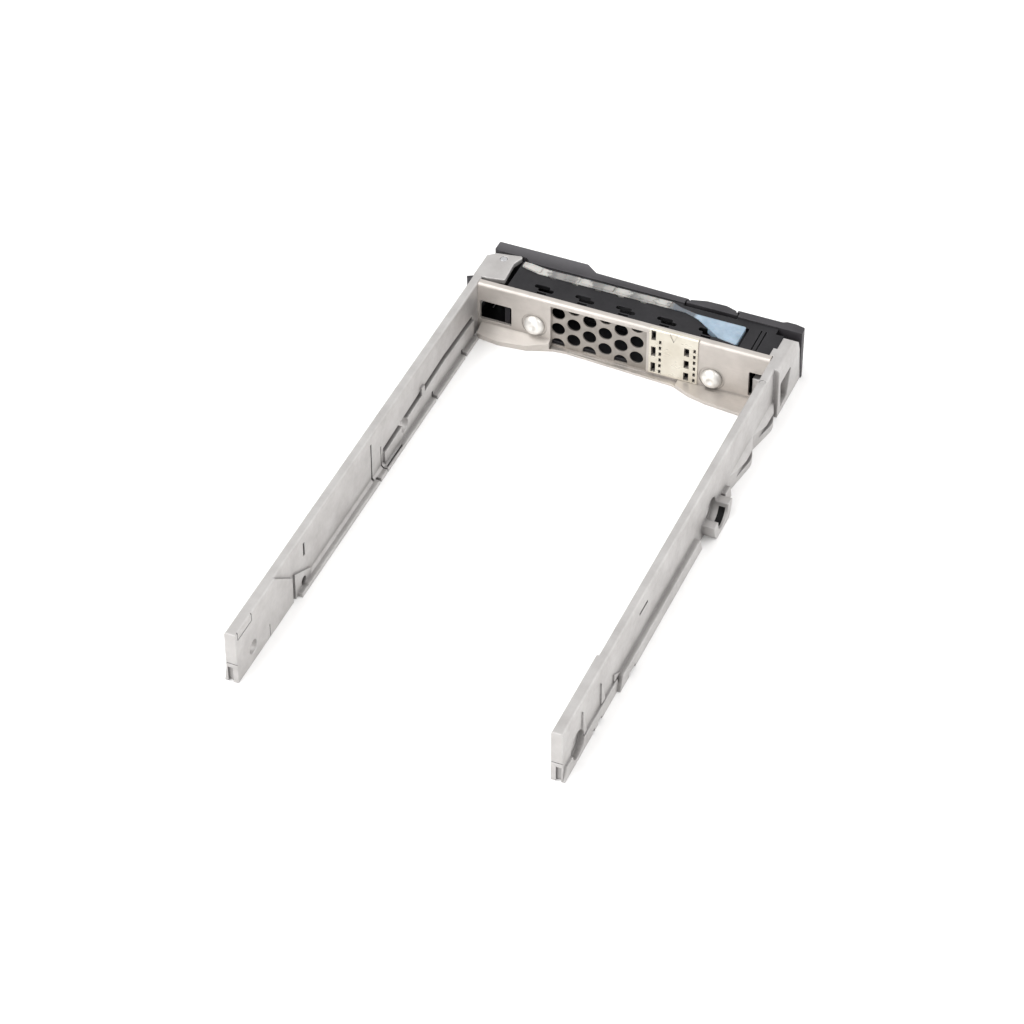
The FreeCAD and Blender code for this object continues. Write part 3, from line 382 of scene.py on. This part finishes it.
lightGuide = {
    # painted highlight colour and painted dark-band colour of the strip
    "bright": (0.42, 0.408, 0.385),
    "dim": (0.06, 0.058, 0.06),
    "neck": (0.095, 0.108, 0.125),
    "block": (0.29, 0.37, 0.45),
    "blockDim": (0.19, 0.255, 0.32),
    "cloudSize": 0.003,
    "turnsBlue": (-0.0090, -0.0080),  # along x: block's colours, strip's colours
    "neckTurns": (-0.0150, -0.0142),  # along x: block, neck
    "alongStrip": [  # places along the strip and how bright the painted light is there, from dark band to highlight
        (0.0290, 0.75), (0.0265, 1.0), (0.0225, 0.95), (0.0212, 0.2), (0.0190, 0.4), (0.0158, 0.3),
        (0.0145, 0.85), (0.0122, 0.9), (0.0108, 0.2), (0.0088, 0.3), (0.0070, 0.55), (0.0035, 0.9),
        (0.0022, 0.8), (0.0012, 0.2), (-0.0002, 0.3), (-0.0016, 0.6), (-0.0036, 0.7), (-0.0045, 0.4),
        (-0.0056, 0.9), (-0.0072, 0.8), (-0.0080, 0.35), (-0.0100, 0.25),
    ],
    "shift": 0.0009,  # how far those places wander to either side
    "shiftSize": 0.0011,
    "roughness": 0.24,
    "coat": 0.15,
    "scatter": 0.1,
    "scatterReach": 0.0005,
    "waveSize": 0.0015,
    "relief": 0.15,
    "reliefDepth": 0.0001,
    "edgeRadius": 0.0004,
}


def paintedLightAlong(tree, along):
    # painted light and shade along the strip: a soft ramp from the table of places
    table = sorted(lightGuide["alongStrip"])
    first, last = table[0][0], table[-1][0]
    ramp = addNode(tree, "ShaderNodeValToRGB")
    ramp.color_ramp.interpolation = "EASE"
    stops = ramp.color_ramp.elements
    while len(stops) < len(table):
        stops.new(0.5)
    for stop, (at, amount) in zip(stops, table):
        stop.position = (at - first) / (last - first)
    for stop, (at, amount) in zip(stops, table):
        stop.color = (amount, amount, amount, 1)
    feed(tree, remap(tree, along, 0.0, 1.0, (first, last)), ramp.inputs["Fac"])
    return ramp.outputs["Color"]


def makeLightGuide():
    material, tree, shader = newMaterial("lightGuide")
    place = objectPlace(tree)
    across = splitPlace(tree, place)["X"]
    shift = lightGuide["shift"]
    wander = addNode(tree, "ShaderNodeMath", operation="ADD")
    feed(tree, across, wander.inputs[0])
    feed(tree, remap(tree, noise(tree, place, lightGuide["shiftSize"]), -shift, shift), wander.inputs[1])
    # painted highlights and dark bands along the strip
    paintedLight = paintedLightAlong(tree, wander.outputs[0])
    strip = mixColour(tree, paintedLight, lightGuide["dim"], lightGuide["bright"])
    cloud = remap(tree, noise(tree, place, lightGuide["cloudSize"]), 0.0, 1.0)
    block = mixColour(tree, cloud, lightGuide["blockDim"], lightGuide["block"])
    beyondNeck = remap(tree, across, 1.0, 0.0, lightGuide["neckTurns"])
    block = mixColour(tree, beyondNeck, lightGuide["neck"], block)
    blue = remap(tree, across, 1.0, 0.0, lightGuide["turnsBlue"])
    feed(tree, mixColour(tree, blue, strip, block), shader.inputs["Base Color"])
    feed(tree, lightGuide["roughness"], shader.inputs["Roughness"])
    feed(tree, lightGuide["coat"], shader.inputs["Coat Weight"])
    feed(tree, lightGuide["scatter"], shader.inputs["Subsurface Weight"])
    feed(tree, lightGuide["scatterReach"], shader.inputs["Subsurface Scale"])
    roundedNormal(tree, shader, noise(tree, place, lightGuide["waveSize"]), lightGuide)
    return material


dress(makeLightGuide(), "light_guide", "status_lens")
print("light guide dressed")


# Duct vane: a ribbed strip across the middle of the housing's air duct

ductVane = {
    "opening": "housing_duct",
    "sideGap": 0.0001,
    "inward": 0.0014,  # from the opening's front face
    "belowTop": (0.0029, 0.0008),  # its lower and upper edges, under the opening's top
    "thick": 0.0005,
    "ribs": 6,
    "ribDepth": 0.0005,
    "ribShape": ((0.30, 0.0), (0.38, 1.0), (0.62, 1.0), (0.70, 0.0)),  # share of pitch, of depth
    "corner": 0.00012,
}

cornerSegments = 2  # facets across a soft corner


def extrudeOutline(name, outline, low, high, corner, material, body):
    # an upright solid from its outline in x and y, with softly bevelled corners
    solid = bmesh.new()
    bottom = solid.faces.new([solid.verts.new((x, y, low)) for x, y in outline])
    raised = bmesh.ops.extrude_face_region(solid, geom=[bottom])["geom"]
    upper = [part for part in raised if isinstance(part, bmesh.types.BMVert)]
    bmesh.ops.translate(solid, vec=(0, 0, high - low), verts=upper)
    bmesh.ops.recalc_face_normals(solid, faces=solid.faces)
    mesh = bpy.data.meshes.new(name)
    solid.to_mesh(mesh)
    solid.free()
    mesh.materials.append(material)
    piece = bpy.data.objects.new(name, mesh)
    bpy.context.scene.collection.objects.link(piece)
    bevel = piece.modifiers.new("softCorners", "BEVEL")
    bevel.width = corner
    bevel.segments = cornerSegments
    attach(piece, body)


def makeDuctVane():
    openings = {row["name"]: row["box_m"] for row in frame["record"]["physics"]["openings"]}
    low, high = openings[ductVane["opening"]]
    left, right = low[0] + ductVane["sideGap"], high[0] - ductVane["sideGap"]
    face = low[1] + ductVane["inward"]
    back = face + ductVane["thick"]
    pitch = (right - left) / ductVane["ribs"]
    outline = [(left, face)]
    for rib in range(ductVane["ribs"]):
        for along, depth in ductVane["ribShape"]:
            outline.append((left + (rib + along) * pitch, face - depth * ductVane["ribDepth"]))
    outline += [(right, face), (right, back), (left, back)]
    lower, upper = (high[2] - drop for drop in ductVane["belowTop"])
    extrudeOutline("duct_vane", outline, lower, upper, ductVane["corner"],
                   housingMaterial, "caddy")


makeDuctVane()
print("duct vane made")


# Button lips: close the seams beside the release button, and move with it

buttonLips = {
    "width": 0.0003,
    "clearance": 0.00005,  # to the lever on one side, to the bezel's end on the other
    "behindBezel": (0.00088, 0.0014),  # front and rear, behind the bezel's face
    "topGap": 0.00002,
    "taper": 0.00006,
    "corner": 0.00003,
}


def makeButtonLips():
    low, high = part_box("release_button")
    bezelLow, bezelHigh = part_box("bezel_end")
    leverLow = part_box("ejector_lever")[0]
    width, taper = buttonLips["width"], buttonLips["taper"]
    front, rear = (bezelLow.y + depth for depth in buttonLips["behindBezel"])
    besideLever = leverLow.x - buttonLips["clearance"] - width
    besideBezel = bezelHigh.x + buttonLips["clearance"]
    for number, far in enumerate((besideLever, besideBezel), start=1):
        near = far + width
        outline = [(far, rear), (near, rear), (near, front + taper),
                   (near - taper, front), (far + taper, front), (far, front + taper)]
        extrudeOutline("button_lip_%d" % number, outline,
                       low.z + buttonLips["topGap"], high.z - buttonLips["topGap"],
                       buttonLips["corner"], bezelMaterial, "button")


makeButtonLips()
print("button lips made")


# Floor, lights and camera

floorSettings = {
    "size": 6.0,
    "below": 0.00005,  # under the rails, so that the two never share a face
    "colour": (0.93, 0.925, 0.92),
    "roughness": 0.6,
    "specular": 0.2,
}


def makeFloor():
    half = floorSettings["size"] / 2
    corners = [(-half, -half, 0), (half, -half, 0), (half, half, 0), (-half, half, 0)]
    mesh = bpy.data.meshes.new("floor")
    mesh.from_pydata(corners, [], [(0, 1, 2, 3)])
    floor = bpy.data.objects.new("floor", mesh)
    bpy.context.scene.collection.objects.link(floor)
    material, tree, shader = newMaterial("floorPaper")
    feed(tree, floorSettings["colour"], shader.inputs["Base Color"])
    feed(tree, floorSettings["roughness"], shader.inputs["Roughness"])
    feed(tree, floorSettings["specular"], shader.inputs["Specular IOR Level"])
    mesh.materials.append(material)
    floor.location.z = cadBounds[0][2] - floorSettings["below"]


makeFloor()

lights = {
    "world": 0.95,  # brightness of the white surroundings
    "aim": (0, 0.05, 0),
    "lamps": {
        "key": {"place": (0.55, 0.45, 0.95), "size": 0.9, "watts": 9.0},
        "fill": {"place": (-0.8, -0.3, 0.7), "size": 1.0, "watts": 5.0},
        "front": {"place": (0.1, 1.1, 0.6), "size": 0.9, "watts": 4.0},
    },
}


def makeLights():
    world = bpy.data.worlds.new("studio")
    world.use_nodes = True
    background = world.node_tree.nodes["Background"]
    background.inputs["Color"].default_value = (1, 1, 1, 1)
    background.inputs["Strength"].default_value = lights["world"]
    bpy.context.scene.world = world
    for name, settings in lights["lamps"].items():
        data = bpy.data.lights.new(name, "AREA")
        data.energy = settings["watts"]
        data.size = settings["size"]
        lamp = bpy.data.objects.new(name, data)
        lamp.location = settings["place"]
        towards = Vector(lights["aim"]) - lamp.location
        lamp.rotation_euler = towards.to_track_quat("-Z", "Y").to_euler()
        bpy.context.scene.collection.objects.link(lamp)


makeLights()

camera = {
    "azimuth": 203.0,
    "elevation": 42.03,
    "distance": 0.7857,
    "target": (0.00358, 0.05504, 0.0),
    "lens": 126.6,  # millimetres
    "sensor": 36,  # millimetres
    "clipStart": 0.01,
}


def makeCamera():
    azimuth, elevation = math.radians(camera["azimuth"]), math.radians(camera["elevation"])
    back = Vector((math.sin(azimuth) * math.cos(elevation),
                   -math.cos(azimuth) * math.cos(elevation), math.sin(elevation)))
    data = bpy.data.cameras.new("camera")
    data.lens = camera["lens"]
    data.sensor_width = camera["sensor"]
    data.clip_start = camera["clipStart"]
    viewer = bpy.data.objects.new("camera", data)
    viewer.location = Vector(camera["target"]) + back * camera["distance"]
    viewer.rotation_euler = back.to_track_quat("Z", "Y").to_euler()
    bpy.context.scene.collection.objects.link(viewer)
    bpy.context.scene.camera = viewer


makeCamera()
bpy.context.scene.view_settings.view_transform = "Standard"
print("stage ready")
